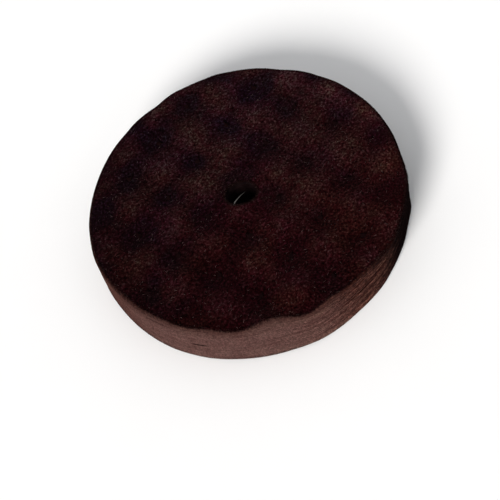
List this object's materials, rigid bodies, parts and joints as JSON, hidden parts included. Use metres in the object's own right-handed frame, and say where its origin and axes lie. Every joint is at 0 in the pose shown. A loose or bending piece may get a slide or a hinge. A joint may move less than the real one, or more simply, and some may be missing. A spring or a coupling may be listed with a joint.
{
  "type": "felt polishing wheel",
  "caption": "Thick round felt polishing wheel: stacked felt plies with a centre bore, quilted by thread ties that dimple the napped faces.",
  "frame": {"origin": "centre of the wheel: on the bore's axis, halfway between the two faces", "axes": "+Z is the spindle axis and points out of the front face, because a loose wheel lies on its face; X and Y run along the rows of ties"},
  "size_m": [0.15, 0.15, 0.025],
  "materials": {
    "face_felt": "matt dark brown napped felt",
    "ply_felt": "matt cut felt edge, dusty mauve brown",
    "tie_thread": "waxed dark brown thread"
  },
  "bodies": {
    "root": {"front_face_ply": "face_felt", "back_face_ply": "face_felt", "felt_ply_01": "ply_felt", "felt_ply_02": "ply_felt", "felt_ply_03": "ply_felt", "felt_ply_04": "ply_felt", "felt_ply_05": "ply_felt", "felt_ply_06": "ply_felt", "felt_ply_07": "ply_felt", "felt_ply_08": "ply_felt", "felt_ply_09": "ply_felt", "felt_ply_10": "ply_felt", "felt_ply_11": "ply_felt", "felt_ply_12": "ply_felt", "felt_ply_13": "ply_felt", "felt_ply_14": "ply_felt", "tie_stitch_01": "tie_thread", "tie_stitch_02": "tie_thread", "tie_stitch_03": "tie_thread", "tie_stitch_04": "tie_thread", "tie_stitch_05": "tie_thread", "tie_stitch_06": "tie_thread", "tie_stitch_07": "tie_thread", "tie_stitch_08": "tie_thread", "tie_stitch_09": "tie_thread", "tie_stitch_10": "tie_thread", "tie_stitch_11": "tie_thread", "tie_stitch_12": "tie_thread", "tie_stitch_13": "tie_thread", "tie_stitch_14": "tie_thread", "tie_stitch_15": "tie_thread", "tie_stitch_16": "tie_thread", "tie_stitch_17": "tie_thread", "tie_stitch_18": "tie_thread", "tie_stitch_19": "tie_thread", "tie_stitch_20": "tie_thread", "tie_stitch_21": "tie_thread", "tie_stitch_22": "tie_thread", "tie_stitch_23": "tie_thread", "tie_stitch_24": "tie_thread"}
  },
  "joints": []
}
